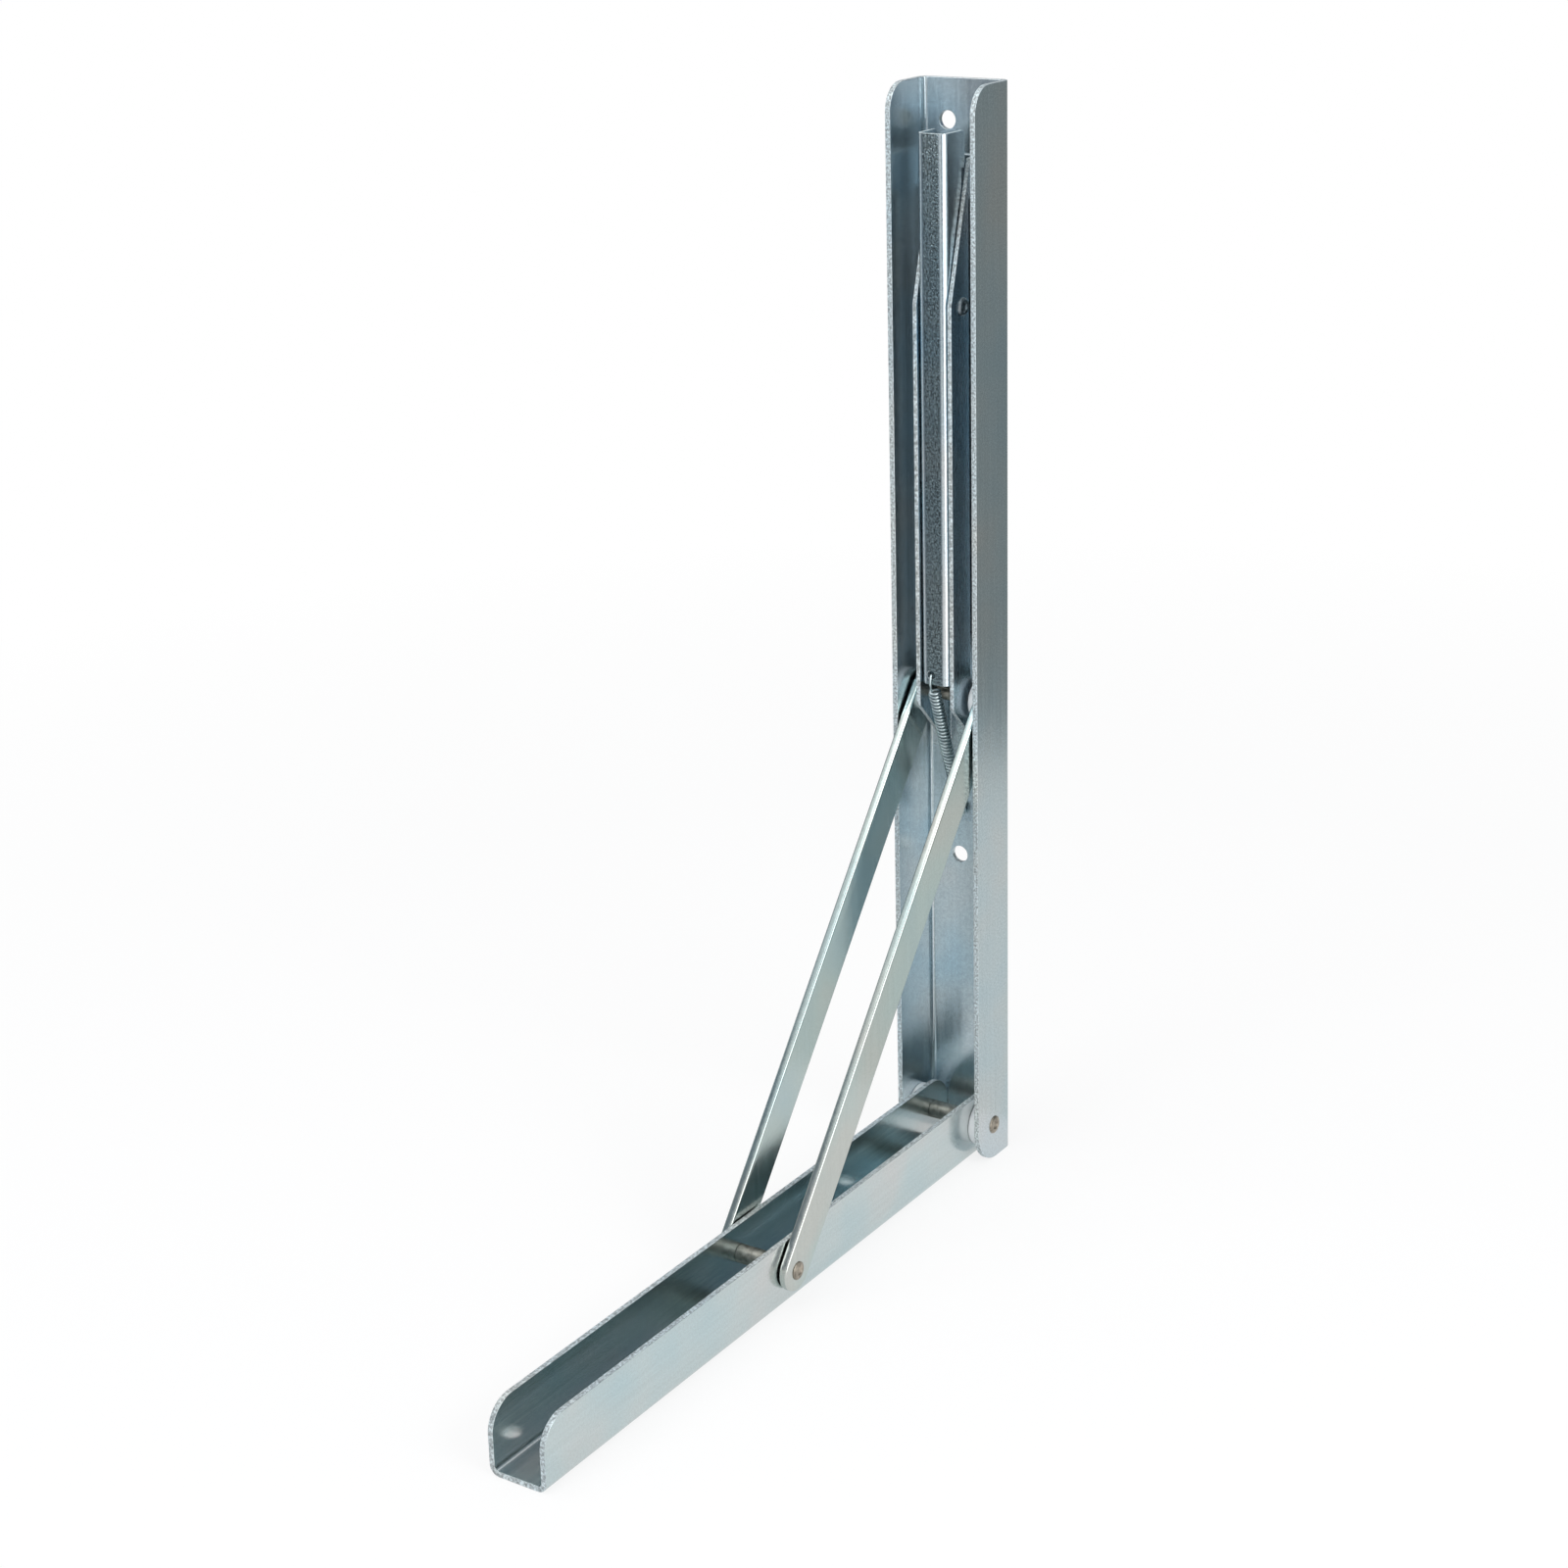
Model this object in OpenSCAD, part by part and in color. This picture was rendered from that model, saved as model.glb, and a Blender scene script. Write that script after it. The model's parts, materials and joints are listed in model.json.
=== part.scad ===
// Folding shelf bracket of zinc-plated steel: a long channel, an arm that folds into it,
// two struts whose upper ends slide behind a release lever, and the spring that holds the lever.
// X runs along the hinge pin, +Y is the side that is screwed down, +Z is along the long channel.
// The origin is on the long channel's back face, half way across it and level with the hinge.

/* [Long channel] */
// Length of the long channel
long_len = 500; // [450:1:620]
// Width over its two flanges
long_w = 44; // [42:0.5:60]
// Depth from its back face to the front edges of its flanges
long_depth = 31; // [29:0.5:45]
// Thickness of the sheet of the long channel and of the arm
sheet = 2.5; // [2:0.1:3]
// Inner radius of the bends in that sheet
bend_r = 2; // [1:0.1:3]
// Radius of the flanges' upper front corners
top_corner_r = 12; // [2:0.5:20]
// Radius of the flanges' lower front corners
foot_corner_r = 16.5; // [2:0.5:20]

/* [Hinge] */
// Height of the hinge above the long channel's lower end
hinge_up = 17; // [12:0.5:25]
// Distance from the back face to the hinge
hinge_in = 16.5; // [14:0.5:25]
// Diameter of the hinge pin and of the strut pin
pin_d = 6; // [5:0.1:8]
// How far the hinge pin's riveted ends spread past its bore
rivet_spread = 1.2; // [0.8:0.1:2]
// How far the strut pin's riveted ends spread past its bore
strut_rivet_spread = 1; // [0.8:0.1:2]
// Height of the hinge pin's riveted ends
rivet_h = 0.8; // [0.4:0.1:1.5]
// Wall of the spacer tubes on those pins
sleeve_wall = 1.15; // [0.8:0.05:2]

/* [Arm] */
// Distance from the hinge to the arm's free end
arm_len = 335; // [250:1:350]
// Radius of the upper corners at the arm's free end
arm_corner_r = 13; // [2:0.5:13.5]
// Distance from the hinge to the strut pin
strut_pin_out = 164; // [120:1:200]

/* [Struts] */
// Thickness of a strut
strut_t = 4; // [3:0.1:5]
// Width of a strut
strut_w = 18.5; // [12:0.5:20]
// Distance of the sliding pin below the long channel's upper end when the arm is folded
slide_top_down = 51.2; // [45:0.1:80]
// Diameter of the sliding pin
slide_pin_d = 6; // [5:0.1:7.5]

/* [Lock channel] */
// Thickness of its sheet
lock_t = 2; // [1.5:0.1:2.5]
// Inner radius of its bends
lock_bend = 1; // [0.5:0.1:2]
// Width of the sheet left above its slots
slot_end = 16; // [8:0.5:20]
// Length over which its flanges narrow towards the upper end
lock_taper = 61; // [20:1:80]
// Distance that its flanges still stand off the back face at the upper end
lock_top_depth = 13.5; // [8:0.5:25]
// Height of the lower end of its flanges' front edges above the sliding pin
lock_low_up = -0.9; // [-4:0.1:4]
// Distance of the lower end of its flanges at the web below the sliding pin
lock_low_down = 28; // [20:0.1:50]
// Width of the tongue that runs down from its web
tongue_w = 12; // [8:0.5:14]

/* [Release lever] */
// Thickness of its sheet
lever_t = 1.5; // [1:0.1:2]
// Outer radius of its bends
lever_bend = 4; // [2:0.1:5]
// How far its thumb end stands out above the lock channel
thumb_out = 12; // [8:0.5:20]
// Depth of its sides at the thumb end
thumb_depth = 16.5; // [12:0.5:20]
// Length of the thumb end, where the sides are deepest
thumb_len = 16; // [8:1:20]
// Radius of the back corners at both of its ends
lever_corner = 2.5; // [1:0.1:3]
// Distance of its pivot below the lock channel's upper end
lever_pin_down = 62.5; // [50:0.5:90]
// Diameter of its pivot pin
lever_pin_d = 5; // [4:0.1:6]
// How far that pin's heads spread past its bore
lever_rivet_spread = 1.5; // [1:0.1:2.5]
// Height of those heads
lever_rivet_h = 1.3; // [0.8:0.1:1.6]
// Width of the sheet round that pin in the lever's lugs
lug_wall = 2.45; // [1.5:0.05:3]

/* [Spring] */
// Diameter of the spring's wire
wire_d = 1.1; // [0.8:0.1:1.3]
// Outer diameter of the spring's coil
coil_d = 6; // [4:0.1:8]
// Distance between two turns of the coil
coil_pitch = 1.5; // [1.4:0.05:2.5]
// Length of wire between the upper hook and the coil
hook_neck = 2.4; // [2:0.1:6]
// Length of wire between the coil and the loop round the post
loop_neck = 3.6; // [3:0.1:8]
// Diameter of the hole in the lever for the spring's hook
hook_hole_d = 4; // [3:0.1:5]
// Height of that hole above the lever's lower end
hook_hole_up = 4.5; // [4:0.1:6]
// Distance of the hole, the spring and its post to the left of the middle
spring_left = 1.8; // [0:0.1:3]
// Distance of the spring post below the sliding pin
post_down = 57.6; // [50:0.1:64]
// Diameter of the spring post's neck
post_neck_d = 3.6; // [3:0.1:4.5]
// How far the spring post's head spreads past its neck
post_spread = 1.7; // [1.2:0.1:3]
// Height of that head
post_head_h = 1.6; // [1:0.1:3]

/* [Screw holes] */
// Diameter of the screw holes
screw_d = 8; // [4:0.1:9]
// Distance of the upper screw hole below the long channel's upper end
screw_top_down = 18; // [12:0.5:24]
// Distance of the upper screw hole to the left of the middle
screw_top_left = 8; // [0:0.5:12]
// Distance of the lower screw hole below the spring post
screw_low_down = 24; // [18:0.5:60]
// Distance of the lower screw hole to the left of the middle
screw_low_left = 4; // [0:0.5:12]
// Distance from the hinge to the inner screw hole in the arm
arm_screw_in = 60; // [40:1:120]
// Distance of the outer screw hole from the arm's free end
arm_screw_end = 25; // [15:1:60]

/* [Clearances] */
// Gap between the arm's flange and the strut beside it
arm_strut_gap = 0.6; // [0.3:0.1:1]
// Gap between the strut and the long channel's flange
strut_flange_gap = 0.9; // [0.7:0.1:1.5]
// Gap between the arm's flanges and the lock channel inside them when folded
arm_lock_gap = 1.8; // [1.5:0.1:4]
// Gap between the lock channel's flanges and the lever's sides
lever_gap = 0.3; // [0.2:0.05:0.6]
// Gap between the lever's front and the web of the arm, if it folded to a right angle
arm_lever_gap = 0.3; // [0.2:0.1:2]
// How far the lever's front stands out past the lock channel's flanges
lever_proud = 0.2; // [0:0.1:1]
// Gap between the lever's lower end and the sliding pin, when the arm is open
lever_low_gap = 6.7; // [5:0.1:12]
// Gap between the lever's lugs and the sliding pin as it passes
lug_gap = 0.6; // [0.3:0.1:1.5]
// Gap between the folded arm's edges and the long channel's web
fold_gap = 0.3; // [0.2:0.1:1]
// Gap between the struts' edges and the bends of the long channel
strut_bend_gap = 0.12; // [0.1:0.02:0.5]
// Gap between the hinge washers and the bends of the long channel
hinge_washer_gap = 1; // [0.3:0.1:3]
// How far the sliding pin's washers stay inside the struts' edges
washer_inset = 0.25; // [0:0.05:1]
// Gap between two faces that slide on each other
slip = 0.1; // [0.05:0.05:0.2]
// Radial gap of a pin in its bore
pin_play = 0.05; // [0.02:0.01:0.1]
// Gap between the lock channel's slots and the sliding pin
slot_play = 0.15; // [0.1:0.05:0.3]
// Gap between the sliding pin's washers and what they pass
washer_gap = 0.4; // [0.3:0.1:1]
// Gap between the spring's hook or loop and what it is hooked round
loop_play = 0.2; // [0.1:0.05:0.5]
// Gap between the spring's lower loop and the sheet behind it
loop_back_gap = 0.9; // [0.6:0.1:2]
// Gap between the spring's lower loop and the post's head
loop_head_gap = 0.4; // [0.2:0.1:1]

/* [Hidden] */
$fn = 64;
over = 1;
steel = "lightsteelblue";
pin_steel = "rosybrown";
plastic = "white";

// Half widths from the outside in, each set by its neighbour
flange_in = long_w / 2 - sheet;
strut_out = flange_in - strut_flange_gap;
strut_in = strut_out - strut_t;
arm_out = strut_in - arm_strut_gap;
arm_in = arm_out - sheet;
lock_out = arm_in - arm_lock_gap;
lock_in = lock_out - lock_t;
lever_out = lock_in - lever_gap;

// Where the arm's faces lie, seen from the hinge
arm_below = hinge_up;
arm_above = hinge_in - sheet - fold_gap;

// How far a bend of inner radius r has risen off its web at the given distance from the flange
function bend_rise(r, distance) = r - sqrt(pow(r, 2) - pow(max(0, r - distance), 2));

// Side view of the moving chain: y is the distance from the back face, z the height.
// The folded place of the sliding pin and the arm's pins set the struts' length,
// and that sets the sliding pin's height when the arm is open.
fold_angle = 88.5;
hinge_y = -hinge_in;
strut_pin_y = hinge_y - strut_pin_out;
slide_y = -sheet - bend_rise(bend_r, strut_flange_gap) - strut_bend_gap - strut_w / 2;
slide_top = long_len - hinge_up - slide_top_down;
folded_pin_y = hinge_y - strut_pin_out * cos(fold_angle);
folded_pin_z = strut_pin_out * sin(fold_angle);
strut_len = norm([slide_y - folded_pin_y, slide_top - folded_pin_z]);
slide_up = sqrt(pow(strut_len, 2) - pow(slide_y - strut_pin_y, 2));
strut_angle = atan2(slide_up, slide_y - strut_pin_y);
slot_half = slide_pin_d / 2 + slot_play;
slide_washer_d = strut_w - 2 * washer_inset;

// Pins, sleeves and the hinge's washers
pin_bore = pin_d + 2 * pin_play;
lever_pin_bore = lever_pin_d + 2 * pin_play;
slide_bore = slide_pin_d + 2 * pin_play;
post_bore = post_neck_d + 2 * pin_play;
sleeve_d = pin_bore + 2 * sleeve_wall;
hinge_washer_d = 2 * (hinge_in - sheet - bend_r - hinge_washer_gap);
hinge_washer_t = flange_in - arm_out - 2 * slip;
slide_washer_in = lock_out + lever_rivet_h + washer_gap;
slide_washer_out = strut_in - 3 * slip;

// The lever's front stays behind the folded arm's web, and the sliding pin passes behind its sides
lever_front = hinge_in + arm_below - sheet - arm_lever_gap;
lever_y = -lever_front;
lock_back = -sheet;
lock_front = -(lever_front - lever_proud);

// Heights in the lock channel and the lever, from the sliding pin up
lock_low = slide_up + lock_low_up;
lock_low_back = slide_up - lock_low_down;
lock_top = slide_top + slot_half + slot_end;
lever_low = slide_up + slide_pin_d / 2 + lever_low_gap;
lever_top = lock_top + thumb_out;
lever_pin_up = lock_top - lever_pin_down;
lug_r = lever_pin_bore / 2 + lug_wall;
lever_pin_y = slide_y - slide_pin_d / 2 - lug_gap - lug_r;
press_angle = 1.8;
press_reach = (slide_top + slide_pin_d / 2 - lever_pin_up) * sin(press_angle);
lever_back = slide_y - slide_pin_d / 2 - washer_gap - press_reach;

// Spring
post_up = slide_up - post_down;
wire_r = wire_d / 2;
coil_r = coil_d / 2 - wire_r;
hook_z = lever_low + hook_hole_up;
hook_r = hook_hole_up / 2 + wire_r + loop_play;
hook_centre = [-spring_left, lever_y + lever_t / 2, hook_z - hook_r];
post_loop_r = post_neck_d / 2 + wire_r + loop_play;
post_loop_y = lock_back - lock_t - wire_r - loop_back_gap;
post_centre = [-spring_left, post_loop_y, post_up];
post_neck_y = post_loop_y - wire_r - loop_head_gap;
coil_dir = unit(post_centre - hook_centre);
coil_start = hook_centre + coil_dir * (hook_r + hook_neck);
coil_end = post_centre - coil_dir * (post_loop_r + loop_neck);
coil_turns = floor(norm(coil_end - coil_start) / coil_pitch) - 0.5;
steps = 10;
wire_sides = 5;

function unit(v) = v / norm(v);

// A rectangle behind the x axis' line y = 0, with its two corners there rounded
module rounded_back(w, depth, r) {
    translate([-w / 2, -depth]) square([w, depth - r]);
    translate([-w / 2 + r, -r - over]) square([w - 2 * r, r + over]);
    for (side = [-1, 1]) translate([side * (w / 2 - r), -r]) circle(r);
}

// Section of a bent channel that opens towards -y, with the back of its web on y = 0
module channel_section(w, depth, t, bend) {
    difference() {
        rounded_back(w, depth, bend + t);
        translate([0, -t]) rounded_back(w - 2 * t, depth, bend);
    }
}

// A flat outline, drawn in y and z, made x0 to x1 thick
module across(x0, x1) {
    translate([x0, 0, 0]) rotate([90, 0, 90]) linear_extrude(x1 - x0) children();
}

// What a rounded corner of radius r loses, for a corner at the origin that points to -x and +y
module corner_waste(r) {
    difference() {
        translate([-over, -r]) square([r + over, r + over]);
        translate([r, -r]) circle(r);
    }
}

// A round rod along x
module rod(x0, x1, d) {
    translate([x0, 0, 0]) rotate([0, 90, 0]) cylinder(h = x1 - x0, d = d);
}

// A spread rivet end that rises by h from x = 0 and has a dimple in its middle
module rivet_end(d, h) {
    edge_h = 0.35 * h;
    crown_r = 0.4 * d;
    dimple_r = 0.27 * d;
    dimple_floor = [0.18 * d, 0.3 * h];
    rotate([0, 90, 0]) rotate_extrude()
        polygon([[0, 0], [d / 2, 0], [d / 2, edge_h], [crown_r, h], [dimple_r, h],
                 dimple_floor, [0, dimple_floor[1]]]);
}

// A pin along x, from -half to +half, with both ends spread over the plates that it holds
module riveted_pin(half, d, head_d, head_h) {
    rod(-half, half, d);
    for (side = [0, 1]) mirror([side, 0, 0]) translate([half, 0, 0]) rivet_end(head_d, head_h);
}

// A round washer or tube along x
module ring(x0, x1, outer_d, bore_d) {
    difference() {
        rod(x0, x1, outer_d);
        rod(x0 - over, x1 + over, bore_d);
    }
}

module at_hinge() { translate([0, hinge_y, 0]) children(); }
module at_strut_pin() { translate([0, strut_pin_y, 0]) children(); }
module at_slide_pin() { translate([0, slide_y, slide_up]) children(); }
module at_lever_pin() { translate([0, lever_pin_y, lever_pin_up]) children(); }

// Screw hole through the long channel's web
module web_hole(x, z, d) {
    translate([x, over, z]) rotate([90, 0, 0]) cylinder(h = sheet + lock_t + 2 * over, d = d);
}

module long_channel() color(steel) difference() {
    translate([0, 0, -hinge_up]) linear_extrude(long_len)
        channel_section(long_w, long_depth, sheet, bend_r);
    across(-long_w, long_w) {
        translate([-long_depth, long_len - hinge_up]) corner_waste(top_corner_r);
        translate([-long_depth, -hinge_up]) mirror([0, 1]) corner_waste(foot_corner_r);
    }
    web_hole(-screw_top_left, long_len - hinge_up - screw_top_down, screw_d);
    web_hole(-screw_low_left, post_up - screw_low_down, screw_d);
    web_hole(-spring_left, post_up, post_bore);
    at_hinge() rod(-long_w, long_w, pin_bore);
}

// Side view of the lock channel's flanges
module lock_outline() {
    polygon([[lock_back + over, lock_low_back], [lock_back - lock_t, lock_low_back],
             [lock_front, lock_low], [lock_front, lock_top - lock_taper],
             [-lock_top_depth, lock_top],
             [lock_back + over, lock_top]]);
}

// The slot in which the sliding pin runs
module slot_outline() {
    for (z = [slide_up, slide_top]) translate([slide_y, z]) circle(slot_half);
    translate([slide_y - slot_half, slide_up]) square([2 * slot_half, slide_top - slide_up]);
}

module lock_channel() color(steel) difference() {
    union() {
        intersection() {
            translate([0, lock_back, lock_low_back]) linear_extrude(lock_top - lock_low_back)
                channel_section(2 * lock_out, lever_front, lock_t, lock_bend);
            across(-lock_out - over, lock_out + over) lock_outline();
        }
        translate([-tongue_w / 2, lock_back - lock_t, post_up - tongue_w / 2])
            cube([tongue_w, lock_t, lock_low_back - post_up + tongue_w / 2 + over]);
    }
    across(-lock_out - over, lock_out + over) slot_outline();
    at_lever_pin() rod(-lock_out - over, lock_out + over, lever_pin_bore);
    web_hole(-spring_left, post_up, post_bore);
}

// A neck with a low domed head
module spring_post() color(steel) translate([-spring_left, 0, post_up]) rotate([90, 0, 0]) {
    head_r = post_neck_d / 2 + post_spread;
    dome_r = (pow(head_r, 2) + pow(post_head_h, 2)) / (2 * post_head_h);
    cylinder(h = -post_neck_y, d = post_neck_d);
    translate([0, 0, -post_neck_y]) intersection() {
        cylinder(h = post_head_h, r = head_r);
        translate([0, 0, post_head_h - dome_r]) sphere(dome_r);
    }
}

module hinge_pin() color(pin_steel) at_hinge()
    riveted_pin(long_w / 2, pin_d, pin_bore + 2 * rivet_spread, rivet_h);

module lever_pin() color(pin_steel) at_lever_pin()
    riveted_pin(lock_out, lever_pin_d, lever_pin_bore + 2 * lever_rivet_spread, lever_rivet_h);

// Side view of the arm: straight to its free end, and round about the hinge
module arm_outline() {
    translate([-arm_len, -arm_below]) square([arm_len, arm_below + arm_above]);
    circle(arm_above);
}

module arm_channel() color(steel) at_hinge() difference() {
    intersection() {
        translate([0, arm_above + over, -arm_below]) rotate([90, 0, 0])
            linear_extrude(arm_len + arm_above + 2 * over)
                mirror([0, 1]) channel_section(2 * arm_out, arm_below + arm_above, sheet, bend_r);
        across(-arm_out - over, arm_out + over) arm_outline();
    }
    across(-arm_out - over, arm_out + over) translate([-arm_len, arm_above]) corner_waste(arm_corner_r);
    rod(-arm_out - over, arm_out + over, pin_bore);
    translate([0, -strut_pin_out, 0]) rod(-arm_out - over, arm_out + over, pin_bore);
    for (y = [arm_screw_in, arm_len - arm_screw_end])
        translate([0, -y, -arm_below - over]) cylinder(h = sheet + 2 * over, d = screw_d);
}

module hinge_sleeve() color(pin_steel) at_hinge()
    ring(-arm_in + slip, arm_in - slip, sleeve_d, pin_bore);

module hinge_washer_right() color(plastic) at_hinge()
    ring(arm_out + slip, arm_out + slip + hinge_washer_t, hinge_washer_d, pin_bore);

module hinge_washer_left() mirror([1, 0, 0]) hinge_washer_right();

module strut_pin() color(pin_steel) at_strut_pin()
    riveted_pin(strut_out + slip, pin_d, pin_bore + 2 * strut_rivet_spread, strut_flange_gap - 3 * slip);

module strut_sleeve() color(pin_steel) at_strut_pin()
    ring(-arm_in + slip, arm_in - slip, sleeve_d, pin_bore);

// A flat bar with round ends, drilled for both pins
module right_strut() color(steel) difference() {
    at_strut_pin() rotate([strut_angle, 0, 0]) across(strut_in, strut_out) {
        translate([0, -strut_w / 2]) square([strut_len, strut_w]);
        for (y = [0, strut_len]) translate([y, 0]) circle(strut_w / 2);
    }
    at_strut_pin() rod(0, long_w, pin_bore);
    at_slide_pin() rod(0, long_w, slide_bore);
}

module left_strut() mirror([1, 0, 0]) right_strut();

// The end of the cross pin that is riveted into the strut
module strut_stub_right() color(pin_steel) at_slide_pin()
    rod(strut_in, strut_out + strut_flange_gap / 2, slide_pin_d);

module strut_stub_left() mirror([1, 0, 0]) strut_stub_right();

module slide_pin() color(pin_steel) at_slide_pin() rod(-slide_washer_out, slide_washer_out, slide_pin_d);

module slide_washer_right() color(plastic) at_slide_pin()
    ring(slide_washer_in, slide_washer_out, slide_washer_d, slide_bore);

module slide_washer_left() mirror([1, 0, 0]) slide_washer_right();

// Side view of the lever: deep at the thumb end, narrower where the sliding pin passes behind it,
// with a round lug at the pivot
module lever_outline() {
    side_depth = lever_back - lever_y;
    difference() {
        translate([lever_y, lever_low]) square([side_depth, lever_top - lever_low - thumb_len / 2]);
        translate([lever_back, lever_low]) mirror([1, 0]) mirror([0, 1]) corner_waste(lever_corner);
    }
    difference() {
        translate([lever_y, lever_top - thumb_len]) square([thumb_depth, thumb_len]);
        translate([lever_y + thumb_depth, lever_top]) mirror([1, 0]) corner_waste(lever_corner);
    }
    translate([lever_pin_y, lever_pin_up]) circle(lug_r);
}

module release_lever() color(steel) difference() {
    intersection() {
        translate([0, lever_y, lever_low - over]) linear_extrude(lever_top - lever_low + 2 * over)
            mirror([0, 1]) channel_section(2 * lever_out, lever_front, lever_t, lever_bend - lever_t);
        across(-lever_out - over, lever_out + over) lever_outline();
    }
    at_lever_pin() rod(-lever_out - over, lever_out + over, lever_pin_bore);
    translate([-spring_left, lever_y + lever_t + over, hook_z]) rotate([90, 0, 0])
        cylinder(h = lever_t + 2 * over, d = hook_hole_d);
}

// The spring's wire: a loop through the lever's hole, the coil, and a loop round the post
coil_side = cross(coil_dir, [1, 0, 0]);
hook_path = [for (a = [10 : 20 : 270]) hook_centre + hook_r * [0, cos(a), sin(a)]];
coil_path = [for (k = [0 : coil_turns * steps])
    coil_start + coil_dir * (k / (coil_turns * steps)) * norm(coil_end - coil_start)
    + coil_r * (sin(360 * k / steps) * [1, 0, 0] + cos(360 * k / steps) * coil_side)];
loop_path = [for (a = [90 : 24 : 378]) post_centre + post_loop_r * [cos(a), 0, sin(a)]];
wire_path = concat(hook_path, coil_path, loop_path);
wire_last = len(wire_path) - 1;

function tangent(i) = unit(wire_path[min(i + 1, wire_last)] - wire_path[max(i - 1, 0)]);
function carried(v, t) = unit(v - (v * t) * t);

// Each ring's first direction is the one before it, turned as little as the wire allows
wire_normals = [for (i = 0, n = [1, 0, 0]; i <= wire_last;
                     n = carried(n, tangent(min(i + 1, wire_last))), i = i + 1) n];
wire_points = [for (i = [0 : wire_last]) let (n = wire_normals[i], b = cross(tangent(i), n))
    for (s = [0 : wire_sides - 1]) let (a = 360 * s / wire_sides)
        wire_path[i] + wire_r * (cos(a) * n + sin(a) * b)];
wire_faces = concat(
    [[for (s = [0 : wire_sides - 1]) s]],
    [for (i = [0 : wire_last - 1]) for (s = [0 : wire_sides - 1])
        let (s2 = (s + 1) % wire_sides, a = i * wire_sides, b = a + wire_sides)
            [a + s, b + s, b + s2, a + s2]],
    [[for (s = [wire_sides - 1 : -1 : 0]) wire_last * wire_sides + s]]);

module lever_spring() color("silver") polyhedron(wire_points, wire_faces, convexity = 10);

long_channel();
lock_channel();
spring_post();
hinge_pin();
lever_pin();
arm_channel();
hinge_sleeve();
hinge_washer_left();
hinge_washer_right();
strut_pin();
strut_sleeve();
left_strut();
right_strut();
strut_stub_left();
strut_stub_right();
slide_pin();
slide_washer_left();
slide_washer_right();
release_lever();
lever_spring();
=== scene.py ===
"""Looks of the folding shelf bracket: its plated sheet, pins, washers and spring, and the studio round it.

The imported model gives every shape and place. Here its sheared edges are eased, its spring is wound
from round wire, and each finish is built from what the real one is. Lengths are in metres.
"""

import json
from math import cos, pi, radians, sin

import bmesh
import bpy
from mathutils import Matrix, Vector
from mathutils.geometry import interpolate_bezier

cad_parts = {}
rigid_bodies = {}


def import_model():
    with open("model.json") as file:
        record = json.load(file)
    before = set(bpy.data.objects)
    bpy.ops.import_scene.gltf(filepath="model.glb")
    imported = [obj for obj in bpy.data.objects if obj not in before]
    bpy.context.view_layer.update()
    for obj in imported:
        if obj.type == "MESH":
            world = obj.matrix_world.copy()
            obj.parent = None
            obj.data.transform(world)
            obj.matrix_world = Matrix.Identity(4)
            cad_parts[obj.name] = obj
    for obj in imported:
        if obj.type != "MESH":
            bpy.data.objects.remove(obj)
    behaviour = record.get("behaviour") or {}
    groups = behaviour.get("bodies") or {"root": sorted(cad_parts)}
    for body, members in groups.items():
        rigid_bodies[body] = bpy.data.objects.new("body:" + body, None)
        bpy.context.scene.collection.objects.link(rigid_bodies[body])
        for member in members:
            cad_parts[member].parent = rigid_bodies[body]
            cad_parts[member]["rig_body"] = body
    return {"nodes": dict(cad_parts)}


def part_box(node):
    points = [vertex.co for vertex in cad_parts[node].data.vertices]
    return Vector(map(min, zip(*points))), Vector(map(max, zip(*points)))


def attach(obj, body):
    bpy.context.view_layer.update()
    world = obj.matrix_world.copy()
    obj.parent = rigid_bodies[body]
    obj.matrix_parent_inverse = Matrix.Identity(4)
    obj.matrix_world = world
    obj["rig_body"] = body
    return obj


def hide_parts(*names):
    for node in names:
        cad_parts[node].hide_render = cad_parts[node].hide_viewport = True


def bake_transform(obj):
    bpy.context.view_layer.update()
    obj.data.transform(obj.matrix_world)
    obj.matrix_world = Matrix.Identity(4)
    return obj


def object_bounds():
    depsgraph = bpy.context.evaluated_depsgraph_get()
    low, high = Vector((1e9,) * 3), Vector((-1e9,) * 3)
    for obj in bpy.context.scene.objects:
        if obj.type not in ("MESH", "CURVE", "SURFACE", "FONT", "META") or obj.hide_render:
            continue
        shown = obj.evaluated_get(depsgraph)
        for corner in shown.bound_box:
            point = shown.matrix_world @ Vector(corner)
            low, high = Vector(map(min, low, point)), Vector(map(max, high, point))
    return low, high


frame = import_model()
cad_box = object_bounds()

MM = 0.001
X, Z = Vector((1, 0, 0)), Vector((0, 0, 1))

# Where the photograph was taken from, and how its frame lies about the lens axis
CAMERA_AZIMUTH = radians(34.431)
CAMERA_ELEVATION = radians(18.648)
CAMERA_ROLL = radians(-1.672)
CAMERA_PLACE = Vector((0.64285, -1.10924, 0.62628))
FRAME_PX = 1600
FOCAL_PX = 3000
LENS_AXIS_PX = (773.63, 736.77)
SENSOR = 36

# Spring wire, how it is wound, and what its ends go round. The turns lie further apart than the
# real 1.3 mm, so that they show.
WIRE_R = 0.55 * MM
WIRE_SIDES = 12
COIL_R = 2.45 * MM
COIL_PITCH = 1.8 * MM
TURN_STEPS = 20
LEVER_SHEET = 1.5 * MM
HOOK_HOLE_UP = 4.5 * MM
LOOP_PLAY = 0.2 * MM
HOOK_OUT = 1.8 * MM
POST_NECK_R = 1.8 * MM
HOOK_NECK = 2.4 * MM
LOOP_NECK = 3.6 * MM
HOOK_DEGREES = range(10, 240, 10)
LOOP_DEGREES = range(120, 390, 12)
BEND_STEPS = 12

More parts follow.
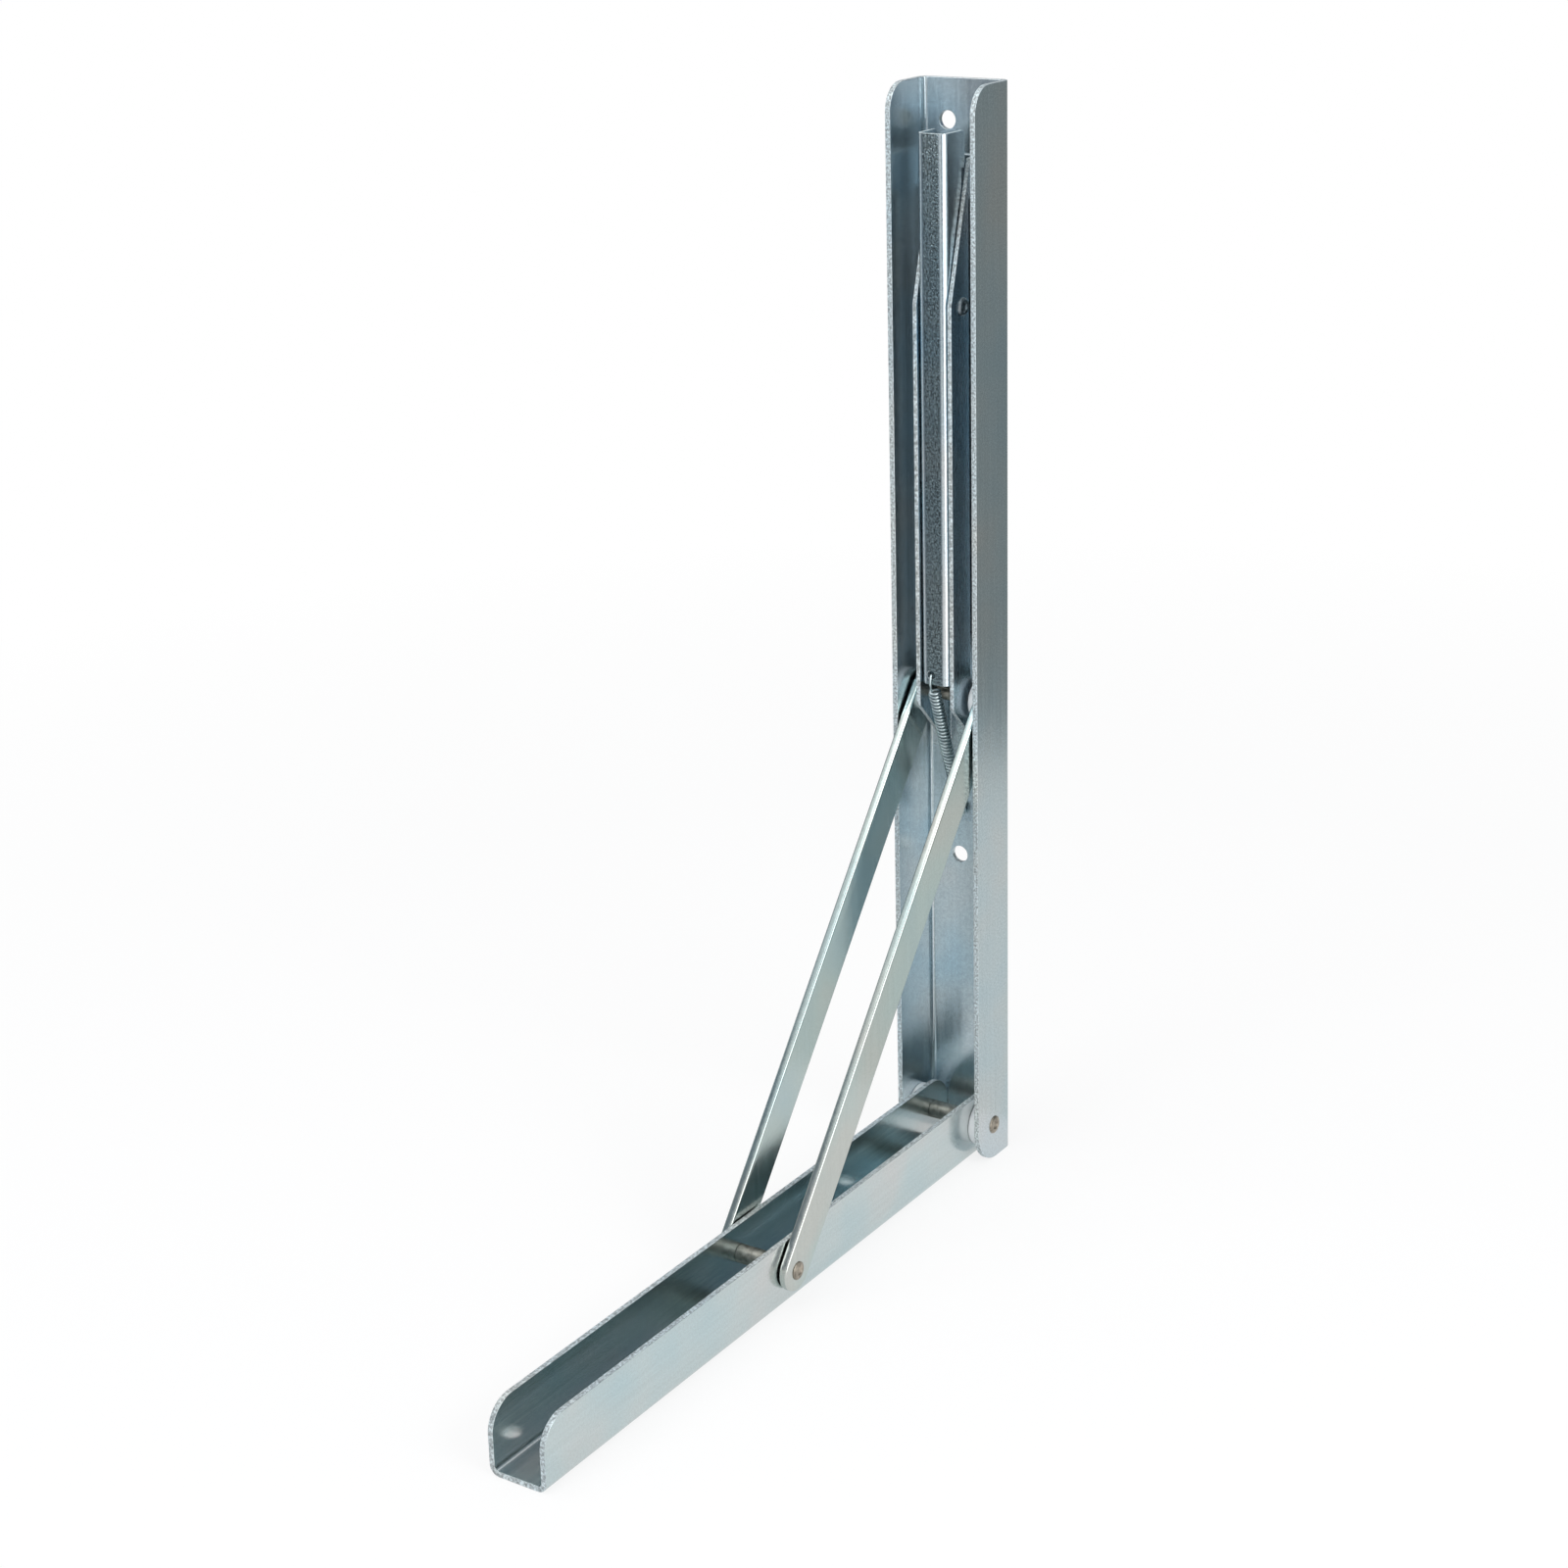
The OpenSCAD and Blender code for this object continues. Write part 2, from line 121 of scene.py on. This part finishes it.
# How far the edges of each piece are eased, and over what angle an edge counts as one
SHEET_EASE = 0.25 * MM
BAR_EASE = 1.0 * MM
PIN_EASE = 0.15 * MM
WASHER_EASE = 0.4 * MM
EDGE_ANGLE = radians(35)
FLAT_ANGLE = radians(0.5)
SAME_PLACE = 0.001 * MM

# How the faces of a bent channel are told apart, by their depth from its web and the way they face
WEB_ZONE = 5 * MM
FLANGE_TURN = 0.9
END_TURN = 0.7
# Faces turned further sideways than this take the paler third zinc: a painted highlight on the lever's
# bends and side flanges
PAINTED_HIGHLIGHT_TURN = 0.2

# The real sizes that the patterns of the finishes follow
CLOUD_SIZE = 50 * MM
ROLLING_LINE = 1.6 * MM
ROLLED_OUT = 40
GLOSS_SPREAD = 0.03
TARNISH_SIZE = 2.2 * MM
TOOL_RING = 0.5 * MM
TOOL_RING_DEPTH = 0.03 * MM
WIRE_TONE_SIZE = 3 * MM
MOTTLE_SIZE = 4 * MM
MOULD_GRAIN = 0.4 * MM
MOULD_GRAIN_DEPTH = 0.02 * MM

# How bright the surround is where the metal mirrors it: the pale grey walls of a studio
MIRRORED_WHITE = 0.73

# The floor: how far it reaches, and where its shadowed part turns into plain white
FLOOR_R = 4.0
UNDER_BRACKET = 0.1 * MM
SHADOW_NEAR, SHADOW_FAR = 0.5, 1.1
WHITE_IN_SHADOW = 0.8


def linear(hex_colour):
    """An sRGB hex colour as linear red, green, blue and alpha."""
    parts = [int(hex_colour[i:i + 2], 16) / 255 for i in (1, 3, 5)]
    return [c / 12.92 if c <= 0.04045 else ((c + 0.055) / 1.055) ** 2.4 for c in parts] + [1.0]


def add_node(tree, kind, inputs=None, **settings):
    """Adds one shader node. A socket given as an input is linked, anything else is its value."""
    node = tree.nodes.new("ShaderNode" + kind)
    for name, value in settings.items():
        setattr(node, name, value)
    for name, value in (inputs or {}).items():
        if isinstance(value, bpy.types.NodeSocket):
            tree.links.new(value, node.inputs[name])
        else:
            node.inputs[name].default_value = value
    return node


def new_material(name):
    """An empty node material: the material, its tree and its Principled shader."""
    material = bpy.data.materials.new(name)
    material.use_nodes = True
    tree = material.node_tree
    tree.nodes.clear()
    shader = add_node(tree, "BsdfPrincipled")
    add_node(tree, "OutputMaterial", {"Surface": shader.outputs["BSDF"]})
    return material, tree, shader


def plated_zinc(name, pale, cool, warm, drawn_along, peel_size, peel_depth, spangle, roughness,
                metallic=1.0):
    """Blue-passivated zinc plating on rolled steel.

    The eye sees a soft mirror with faint cool and warm clouds from the passivation, fine lines along
    the sheet as it was rolled, and the orange peel of the plating.
    """
    material, tree, shader = new_material(name)
    shader.inputs["Metallic"].default_value = metallic
    here = add_node(tree, "TexCoord").outputs["Object"]

    # Clouds of the passivation
    clouds = add_node(tree, "TexNoise", {"Vector": here, "Scale": 1 / CLOUD_SIZE, "Detail": 2.0})
    tints = add_node(tree, "ValToRGB", {"Fac": clouds.outputs["Fac"]})
    stops = tints.color_ramp.elements
    stops[0].position, stops[0].color = 0.32, linear(cool)
    stops[1].position, stops[1].color = 0.68, linear(warm)
    middle = stops.new(0.50)
    middle.color = linear(pale)

    # Rolling lines: noise drawn out along the sheet
    stretch = [1.0, 1.0, 1.0]
    stretch["XYZ".index(drawn_along)] = 1 / ROLLED_OUT
    lengthwise = add_node(tree, "Mapping", {"Vector": here, "Scale": stretch})
    lines = add_node(tree, "TexNoise", {"Vector": lengthwise.outputs["Vector"],
                                        "Scale": 1 / ROLLING_LINE, "Detail": 3.0})
    line_tone = add_node(tree, "MapRange", {"Value": lines.outputs["Fac"], "From Min": 0.3,
                                            "From Max": 0.7, "To Min": 0.97, "To Max": 1.02})
    gloss = add_node(tree, "MapRange", {"Value": lines.outputs["Fac"], "From Min": 0.3,
                                        "From Max": 0.7, "To Min": roughness - GLOSS_SPREAD,
                                        "To Max": roughness + GLOSS_SPREAD})
    tree.links.new(gloss.outputs["Result"], shader.inputs["Roughness"])

    # Orange peel and its bright and dull grains, drawn coarser than the real 0.2 mm so that they show
    peel = add_node(tree, "TexNoise", {"Vector": here, "Scale": 1 / peel_size, "Detail": 2.0,
                                       "Roughness": 0.6})
    grain_tone = add_node(tree, "MapRange", {"Value": peel.outputs["Fac"], "From Min": 0.35,
                                             "From Max": 0.65, "To Min": 1 - spangle,
                                             "To Max": 1 + spangle / 2})
    tone = add_node(tree, "Math", {0: line_tone.outputs["Result"], 1: grain_tone.outputs["Result"]},
                    operation="MULTIPLY")
    colour = add_node(tree, "MixRGB", {"Fac": 1.0, "Color1": tints.outputs["Color"],
                                       "Color2": tone.outputs["Value"]}, blend_type="MULTIPLY")
    tree.links.new(colour.outputs["Color"], shader.inputs["Base Color"])
    bump = add_node(tree, "Bump", {"Height": peel.outputs["Fac"], "Strength": 1.0,
                                   "Distance": peel_depth})
    tree.links.new(bump.outputs["Normal"], shader.inputs["Normal"])
    return material


def turned_steel(name, light, dark, roughness):
    """Plain turned steel, slightly tarnished: brownish, with fine rings from the tool."""
    material, tree, shader = new_material(name)
    shader.inputs["Metallic"].default_value = 1.0
    here = add_node(tree, "TexCoord").outputs["Object"]
    tarnish = add_node(tree, "TexNoise", {"Vector": here, "Scale": 1 / TARNISH_SIZE, "Detail": 4.0})
    tints = add_node(tree, "ValToRGB", {"Fac": tarnish.outputs["Fac"]})
    tints.color_ramp.elements[0].position, tints.color_ramp.elements[0].color = 0.35, linear(dark)
    tints.color_ramp.elements[1].position, tints.color_ramp.elements[1].color = 0.62, linear(light)
    tree.links.new(tints.outputs["Color"], shader.inputs["Base Color"])
    shader.inputs["Roughness"].default_value = roughness
    rings = add_node(tree, "Mapping", {"Vector": here, "Scale": (1.0, 0.05, 0.05)})
    cuts = add_node(tree, "TexNoise", {"Vector": rings.outputs["Vector"], "Scale": 1 / TOOL_RING})
    bump = add_node(tree, "Bump", {"Height": cuts.outputs["Fac"], "Strength": 0.5,
                                   "Distance": TOOL_RING_DEPTH})
    tree.links.new(bump.outputs["Normal"], shader.inputs["Normal"])
    return material


def spring_wire(name, light, dark):
    """Hard-drawn spring wire: bright, with faint darker stretches."""
    material, tree, shader = new_material(name)
    shader.inputs["Metallic"].default_value = 1.0
    shader.inputs["Roughness"].default_value = 0.28
    here = add_node(tree, "TexCoord").outputs["Object"]
    tone = add_node(tree, "TexNoise", {"Vector": here, "Scale": 1 / WIRE_TONE_SIZE, "Detail": 2.0})
    tints = add_node(tree, "ValToRGB", {"Fac": tone.outputs["Fac"]})
    tints.color_ramp.elements[0].position, tints.color_ramp.elements[0].color = 0.35, linear(dark)
    tints.color_ramp.elements[1].position, tints.color_ramp.elements[1].color = 0.65, linear(light)
    tree.links.new(tints.outputs["Color"], shader.inputs["Base Color"])
    return material


def moulded_nylon(name, white, shade):
    """White moulded nylon: softly glossy, faintly mottled, with a faint mould texture."""
    material, tree, shader = new_material(name)
    shader.inputs["Roughness"].default_value = 0.42
    shader.inputs["IOR"].default_value = 1.53
    here = add_node(tree, "TexCoord").outputs["Object"]
    mottle = add_node(tree, "TexNoise", {"Vector": here, "Scale": 1 / MOTTLE_SIZE, "Detail": 3.0})
    tints = add_node(tree, "MixRGB", {"Fac": mottle.outputs["Fac"], "Color1": linear(white),
                                      "Color2": linear(shade)})
    tree.links.new(tints.outputs["Color"], shader.inputs["Base Color"])
    skin = add_node(tree, "TexNoise", {"Vector": here, "Scale": 1 / MOULD_GRAIN})
    bump = add_node(tree, "Bump", {"Height": skin.outputs["Fac"], "Strength": 0.4,
                                   "Distance": MOULD_GRAIN_DEPTH})
    tree.links.new(bump.outputs["Normal"], shader.inputs["Normal"])
    return material


def finish_mesh(name, bm, materials, body):
    """Makes a piece of a bmesh, shaded smooth between its edges, and puts it on its body."""
    mesh = bpy.data.meshes.new(name)
    bm.to_mesh(mesh)
    bm.free()
    for material in materials:
        mesh.materials.append(material)
    mesh.shade_smooth()
    mesh.set_sharp_from_angle(angle=EDGE_ANGLE)
    piece = bpy.data.objects.new(name, mesh)
    bpy.context.scene.collection.objects.link(piece)
    flats = piece.modifiers.new("flat faces stay flat", "WEIGHTED_NORMAL")
    flats.keep_sharp = True
    if body:
        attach(piece, body)
    return piece


def is_sheared(face, web_axis, web_at, length_axis):
    """Whether a face of a bent channel lies on an edge of its sheet, and not on a flange or the web."""
    off_web = abs(face.calc_center_median()[web_axis] - web_at)
    across_sheet = abs(face.normal.x) < FLANGE_TURN and off_web > WEB_ZONE
    return across_sheet or abs(face.normal[length_axis]) > END_TURN


def eased(node, ease, materials, sheet=None):
    """A copy of a node's mesh with its sharp edges eased, as tumbling and plating leave them.

    A bent channel gives its web's axis and place and its length's axis as sheet, and its second
    material goes on the edges of the sheet. A third, paler one goes on its bends and flanges, the
    faces that turn sideways: a painted highlight.
    """
    bm = bmesh.new()
    bm.from_mesh(frame["nodes"][node].data)
    bmesh.ops.remove_doubles(bm, verts=bm.verts, dist=SAME_PLACE)
    bmesh.ops.dissolve_limit(bm, angle_limit=FLAT_ANGLE, verts=bm.verts, edges=bm.edges)
    sharp = [e for e in bm.edges if e.is_manifold and e.calc_face_angle() > EDGE_ANGLE]
    bmesh.ops.bevel(bm, geom=sharp, offset=ease, offset_type="OFFSET", segments=2,
                    profile=0.5, affect="EDGES", clamp_overlap=False, material=-1)
    bm.normal_update()
    for face in bm.faces:
        if sheet and is_sheared(face, *sheet):
            face.material_index = 1
        else:
            # Sideways faces take the paler third material: a painted highlight
            face.material_index = 2 if len(materials) > 2 and abs(face.normal.x) > PAINTED_HIGHLIGHT_TURN else 0
    piece = finish_mesh(node + "_eased", bm, materials, frame["nodes"][node]["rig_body"])
    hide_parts(node)
    return piece


def wire_route():
    """The spring wire's centreline: hook in the lever, coil, and loop round the post."""
    lever_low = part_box("release_lever")[0]
    post_box, spring_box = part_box("spring_post"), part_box("lever_spring")
    middle = (spring_box[0].x + spring_box[1].x) / 2
    hook_r = HOOK_HOLE_UP / 2 + WIRE_R + LOOP_PLAY
    hook = Vector((middle, lever_low.y + LEVER_SHEET / 2, lever_low.z + HOOK_HOLE_UP - hook_r))
    loop_r = POST_NECK_R + WIRE_R + LOOP_PLAY
    post = Vector((middle, spring_box[1].y - WIRE_R, (post_box[0].z + post_box[1].z) / 2))
    along = (post - hook).normalized()
    side = along.cross(X)
    start, end = hook + along * (hook_r + HOOK_NECK), post - along * (loop_r + LOOP_NECK)
    turns = round((end - start).length / COIL_PITCH) - 0.5
    steps = round(turns * TURN_STEPS)
    hook_arc = [hook + Vector((0, HOOK_OUT * cos(radians(a)), hook_r * sin(radians(a))))
                for a in HOOK_DEGREES]
    coil = []
    for k in range(steps + 1):
        turn = 2 * pi * k / TURN_STEPS
        coil.append(start.lerp(end, k / steps) + COIL_R * (sin(turn) * X + cos(turn) * side))
    loop_arc = [post + loop_r * Vector((cos(radians(a)), 0, sin(radians(a))))
                for a in LOOP_DEGREES]
    return joined(joined(hook_arc, coil), loop_arc)


def joined(first, second):
    """Two runs of wire and the smooth bend between them."""
    gap = (second[0] - first[-1]).length
    out = (first[-1] - first[-2]).normalized() * gap / 2
    back = (second[0] - second[1]).normalized() * gap / 2
    bend = interpolate_bezier(first[-1], first[-1] + out, second[0] + back, second[0], BEND_STEPS)
    return first + bend[1:-1] + second


def wound_spring(material):
    """The lever's spring: one ring of wire, extruded and turned from point to point of its route."""
    route = wire_route()
    bm = bmesh.new()
    heading = (route[1] - route[0]).normalized()
    facing = Matrix.Translation(route[0]) @ heading.to_track_quat("Z", "Y").to_matrix().to_4x4()
    bmesh.ops.create_circle(bm, cap_ends=True, radius=WIRE_R, segments=WIRE_SIDES, matrix=facing)
    rim = list(bm.edges)
    for here, there, beyond in zip(route, route[1:], route[2:] + [2 * route[-1] - route[-2]]):
        grown = bmesh.ops.extrude_edge_only(bm, edges=rim)["geom"]
        ring = [v for v in grown if isinstance(v, bmesh.types.BMVert)]
        rim = [e for e in grown
               if isinstance(e, bmesh.types.BMEdge) and all(v in ring for v in e.verts)]
        turned = (beyond - here).normalized()
        bmesh.ops.rotate(bm, verts=ring, cent=here,
                         matrix=heading.rotation_difference(turned).to_matrix())
        bmesh.ops.translate(bm, verts=ring, vec=there - here)
        heading = turned
    bmesh.ops.contextual_create(bm, geom=rim)
    bmesh.ops.recalc_face_normals(bm, faces=bm.faces)
    piece = finish_mesh("lever_spring_wound", bm, [material], None)
    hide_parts("lever_spring")
    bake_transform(piece)
    return piece


def make_pieces():
    """Every piece of the bracket with its finish.

    The three channels and the lever say where their webs lie: the axis across the web, its place on
    that axis, and the axis along their length.
    """
    long_zinc = plated_zinc("blue passivated zinc, long channel", "#D7E3E8", "#CCDFE8", "#DFE3E4", "Z",
                            1.0 * MM, 0.015 * MM, 0.10, 0.24)
    arm_zinc = plated_zinc("blue passivated zinc, arm", "#D6E3E4", "#CCE0E4", "#DFE2E1", "Y",
                           1.0 * MM, 0.015 * MM, 0.05, 0.18)
    lock_zinc = plated_zinc("blue passivated zinc, lock channel", "#C8D8E0", "#BED4E0", "#D1DADF", "Z",
                            0.8 * MM, 0.10 * MM, 0.25, 0.26)
    lever_zinc = plated_zinc("blue passivated zinc, lever", "#A8B7BA", "#9FB4BB", "#B0BABA", "Z",
                             0.9 * MM, 0.20 * MM, 0.80, 0.26)
    bar_zinc = plated_zinc("blue passivated zinc, struts", "#CBD9D6", "#C2D5D7", "#D4D8D3", "Z",
                           1.0 * MM, 0.01 * MM, 0.03, 0.20)
    edge_zinc = plated_zinc("zinc on sheared edges", "#CFD9DC", "#C8D6DC", "#D4D9D8", "Z",
                            1.0 * MM, 0.20 * MM, 0.50, 0.62, 0.7)
    rivet_steel = turned_steel("tarnished rivet steel", "#C4BBAC", "#8C857A", 0.38)
    sleeve_steel = turned_steel("turned tube steel", "#A2A29A", "#7C7C76", 0.45)
    grey_steel = turned_steel("plain rivet steel", "#B0B5B7", "#7C8286", 0.36)
    wire = spring_wire("hard drawn spring wire", "#DCE8EA", "#AEBEC2")
    nylon = moulded_nylon("white moulded nylon", "#FAFCFD", "#F2F6F8")
    for node, ease, materials, slot, sheet in (
            ("long_channel", SHEET_EASE, (long_zinc, edge_zinc), "zinc_sheet", (1, cad_box[1].y, 2)),
            ("arm_channel", SHEET_EASE, (arm_zinc, edge_zinc), "zinc_sheet", (2, cad_box[0].z, 1)),
            ("lock_channel", SHEET_EASE, (lock_zinc, edge_zinc), "zinc_inner", (1, cad_box[1].y, 2)),
            # The lever's bends and side flanges take the paler long-channel zinc: a painted highlight
            # beside its darker front
            ("release_lever", SHEET_EASE, (lever_zinc, edge_zinc, long_zinc), "zinc_inner",
             (1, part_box("release_lever")[0].y, 2)),
            ("spring_post", SHEET_EASE, (bar_zinc,), "zinc_inner", None),
            ("left_strut", BAR_EASE, (bar_zinc,), "zinc_bar", None),
            ("right_strut", BAR_EASE, (bar_zinc,), "zinc_bar", None),
            ("hinge_pin", PIN_EASE, (rivet_steel,), "rivet_steel", None),
            ("lever_pin", PIN_EASE, (grey_steel,), "rivet_steel", None),
            ("strut_pin", PIN_EASE, (rivet_steel,), "rivet_steel", None),
            ("slide_pin", PIN_EASE, (rivet_steel,), "rivet_steel", None),
            ("strut_stub_left", PIN_EASE, (rivet_steel,), "rivet_steel", None),
            ("strut_stub_right", PIN_EASE, (rivet_steel,), "rivet_steel", None),
            ("hinge_sleeve", PIN_EASE, (sleeve_steel,), "rivet_steel", None),
            ("strut_sleeve", PIN_EASE, (sleeve_steel,), "rivet_steel", None),
            ("hinge_washer_left", WASHER_EASE, (nylon,), "white_plastic", None),
            ("hinge_washer_right", WASHER_EASE, (nylon,), "white_plastic", None),
            ("slide_washer_left", WASHER_EASE, (nylon,), "white_plastic", None),
            ("slide_washer_right", WASHER_EASE, (nylon,), "white_plastic", None)):
        eased(node, ease, materials, sheet)
    wound_spring(wire)


def make_camera():
    """The camera at the photograph's place, turned and shifted as its frame is."""
    away = -Vector((sin(CAMERA_AZIMUTH) * cos(CAMERA_ELEVATION),
                    -cos(CAMERA_AZIMUTH) * cos(CAMERA_ELEVATION), sin(CAMERA_ELEVATION)))
    level = away.cross(Z).normalized()
    upright = level.cross(away)
    right = level * cos(CAMERA_ROLL) + upright * sin(CAMERA_ROLL)
    up = upright * cos(CAMERA_ROLL) - level * sin(CAMERA_ROLL)
    lens = bpy.data.cameras.new("camera")
    lens.sensor_width = SENSOR
    lens.lens = FOCAL_PX * SENSOR / FRAME_PX
    lens.shift_x = (FRAME_PX / 2 - LENS_AXIS_PX[0]) / FRAME_PX
    lens.shift_y = (LENS_AXIS_PX[1] - FRAME_PX / 2) / FRAME_PX
    camera = bpy.data.objects.new("camera", lens)
    turn = Matrix((right, up, -away)).transposed().to_4x4()
    camera.matrix_world = Matrix.Translation(CAMERA_PLACE) @ turn
    bpy.context.scene.collection.objects.link(camera)
    bpy.context.scene.camera = camera


def softbox(name, place, target, width, height, power):
    """A rectangular studio lamp that faces its target."""
    lamp = bpy.data.lights.new(name, "AREA")
    lamp.shape = "RECTANGLE"
    lamp.size, lamp.size_y, lamp.energy = width, height, power
    box = bpy.data.objects.new(name, lamp)
    box.location = place
    box.rotation_euler = (Vector(target) - Vector(place)).to_track_quat("-Z", "Y").to_euler()
    bpy.context.scene.collection.objects.link(box)


def emissive(name, colour, strength):
    """A material that only shines."""
    material = bpy.data.materials.new(name)
    material.use_nodes = True
    tree = material.node_tree
    tree.nodes.clear()
    glow = add_node(tree, "Emission", {"Color": linear(colour), "Strength": strength})
    add_node(tree, "OutputMaterial", {"Surface": glow.outputs["Emission"]})
    return material


def card(name, place, target, width, height, colour, strength):
    """A studio card, dark or bright, that only reflections see."""
    bm = bmesh.new()
    bmesh.ops.create_grid(bm, x_segments=1, y_segments=1, size=0.5)
    bmesh.ops.scale(bm, verts=bm.verts, vec=(width, height, 1))
    turn = (Vector(target) - Vector(place)).to_track_quat("Z", "Y").to_matrix().to_4x4()
    bmesh.ops.transform(bm, verts=bm.verts, matrix=Matrix.Translation(place) @ turn)
    mesh = bpy.data.meshes.new(name)
    bm.to_mesh(mesh)
    bm.free()
    mesh.materials.append(emissive(name, colour, strength))
    piece = bpy.data.objects.new(name, mesh)
    bpy.context.scene.collection.objects.link(piece)
    piece.visible_camera = False
    piece.visible_diffuse = False
    piece.visible_shadow = False


def white_by_ray(tree):
    """Two sockets: whether a ray sees the plain white, and how bright that white is for it."""
    path = add_node(tree, "LightPath").outputs
    seen = add_node(tree, "Math", {0: path["Is Camera Ray"], 1: path["Is Glossy Ray"]},
                    operation="MAXIMUM")
    seen = add_node(tree, "Math", {0: seen.outputs["Value"], 1: path["Is Transmission Ray"]},
                    operation="MAXIMUM")
    level = add_node(tree, "MapRange", {"Value": path["Is Glossy Ray"], "To Min": 1.0,
                                        "To Max": MIRRORED_WHITE})
    return seen.outputs["Value"], level.outputs["Result"]


def make_world():
    """A surround that is white to look at and in reflections, and a soft fill for matt surfaces."""
    world = bpy.data.worlds.new("white studio")
    bpy.context.scene.world = world
    world.use_nodes = True
    tree = world.node_tree
    tree.nodes.clear()
    seen, level = white_by_ray(tree)
    fill = add_node(tree, "Background", {"Color": linear("#F7F8FA"), "Strength": 0.8})
    white = add_node(tree, "Background", {"Color": linear("#FFFFFF"), "Strength": level})
    mixed = add_node(tree, "MixShader", {0: seen, 1: fill.outputs["Background"],
                                         2: white.outputs["Background"]})
    add_node(tree, "OutputWorld", {"Surface": mixed.outputs["Shader"]})


def make_floor():
    """A matt white floor just under the bracket, that turns into the white surround further off."""
    bm = bmesh.new()
    bmesh.ops.create_circle(bm, cap_ends=True, radius=FLOOR_R, segments=96,
                            matrix=Matrix.Translation((0, 0, cad_box[0].z - UNDER_BRACKET)))
    mesh = bpy.data.meshes.new("floor")
    bm.to_mesh(mesh)
    bm.free()
    floor = bpy.data.objects.new("floor", mesh)
    bpy.context.scene.collection.objects.link(floor)
    material = bpy.data.materials.new("matt white floor")
    material.use_nodes = True
    tree = material.node_tree
    tree.nodes.clear()
    seen, level = white_by_ray(tree)
    place = add_node(tree, "NewGeometry").outputs["Position"]
    away = add_node(tree, "VectorMath", {0: place}, operation="LENGTH")
    share = add_node(tree, "MapRange", {"Value": away.outputs["Value"], "From Min": SHADOW_NEAR,
                                        "From Max": SHADOW_FAR, "To Min": WHITE_IN_SHADOW,
                                        "To Max": 1.0})
    share = add_node(tree, "Math", {0: seen, 1: share.outputs["Result"]}, operation="MULTIPLY")
    lit = add_node(tree, "BsdfDiffuse", {"Color": linear("#F0F0F0")})
    white = add_node(tree, "Emission", {"Color": linear("#FFFFFF"), "Strength": level})
    mixed = add_node(tree, "MixShader", {0: share.outputs["Value"], 1: lit.outputs["BSDF"],
                                         2: white.outputs["Emission"]})
    add_node(tree, "OutputMaterial", {"Surface": mixed.outputs["Shader"]})
    mesh.materials.append(material)


def make_studio():
    """The floor, the white surround, soft lamps, and the cards that the metal mirrors."""
    bpy.context.scene.view_settings.view_transform = "Standard"
    make_world()
    make_floor()
    middle = (0, -0.12, 0.2)
    softbox("overhead softbox", (-0.5, -0.7, 1.9), middle, 1.6, 1.2, 9)
    softbox("high lamp on the right", (1.25, -0.45, 1.0), middle, 0.8, 0.5, 7)
    softbox("soft lamp in front", (-0.38, -1.8, 0.75), middle, 0.6, 0.6, 5)
    # The two grey sheets lie just above the floor, clear of the arm. They are painted shade on the floor,
    # seen only in reflections, darker beside the dark cards
    for name, place, target, width, height, colour, strength in (
            ("dark card behind on the right", (0.325, 0.475, 0.238), (0, 0, 0.238), 1.1, 0.60,
             "#7F8483", 1.0),
            ("grey sheet of painted floor shade behind", (0.20, 0.30, -0.016), (0.20, 0.30, 1.0), 0.60, 0.56,
             "#D1D5D4", 1.0),
            ("dark card in front on the left", (-0.36, -0.52, 0.235), (0, 0, 0.235), 0.9, 0.55,
             "#6F7A83", 1.0),
            ("grey sheet of painted floor shade in front", (-0.34, -0.32, -0.016), (-0.34, -0.32, 1.0), 0.56,
             0.55, "#B0B9BC", 1.0),
            ("dark card behind on the left", (-0.62, 0.42, 0.30), (0, 0, 0.15), 1.1, 0.5,
             "#6E7883", 1.0),
            ("dark card high behind", (0, 0.72, 0.78), (0, 0, 0.0), 1.7, 0.55, "#6E7883", 1.0),
            ("dark card by the camera", (0.42, -0.62, 0.40), (0, 0, 0.2), 0.45, 0.5, "#6E7883", 1.0),
            ("bright card in front on the right", (0.46, -0.32, 0.25), (0, 0, 0.25), 0.38, 0.55,
             "#FFFFFF", 2.2)):
        card(name, place, target, width, height, colour, strength)


make_camera()
make_studio()
make_pieces()
